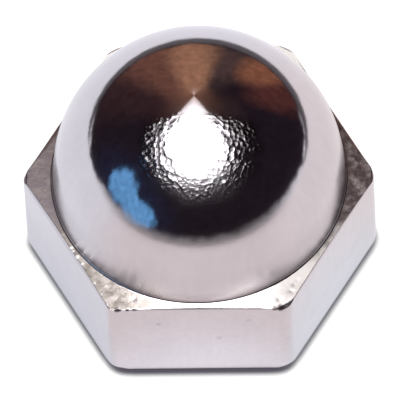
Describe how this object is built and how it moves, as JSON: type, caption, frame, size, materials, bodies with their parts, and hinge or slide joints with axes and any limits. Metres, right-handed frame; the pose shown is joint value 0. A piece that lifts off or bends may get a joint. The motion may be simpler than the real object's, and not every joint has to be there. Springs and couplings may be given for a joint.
{
  "type": "cap nut",
  "caption": "Low-crown cap nut: a hexagon nut closed by a smooth dome, which covers the end of a bolt or stud.",
  "frame": {"origin": "centre of the bearing face, on the thread's axis", "axes": "+Z along the thread's axis, up through the crown; the X axis runs through two opposite corners of the hexagon, the Y axis through two opposite flats"},
  "size_m": [0.0164, 0.0142, 0.013],
  "materials": {
    "bright_nickel_plate": "bright nickel plate on steel, polished, with a fine grain on the dome and small nicks on the hexagon's shoulder"
  },
  "bodies": {
    "root": {"cap_nut": "bright_nickel_plate"}
  },
  "joints": []
}
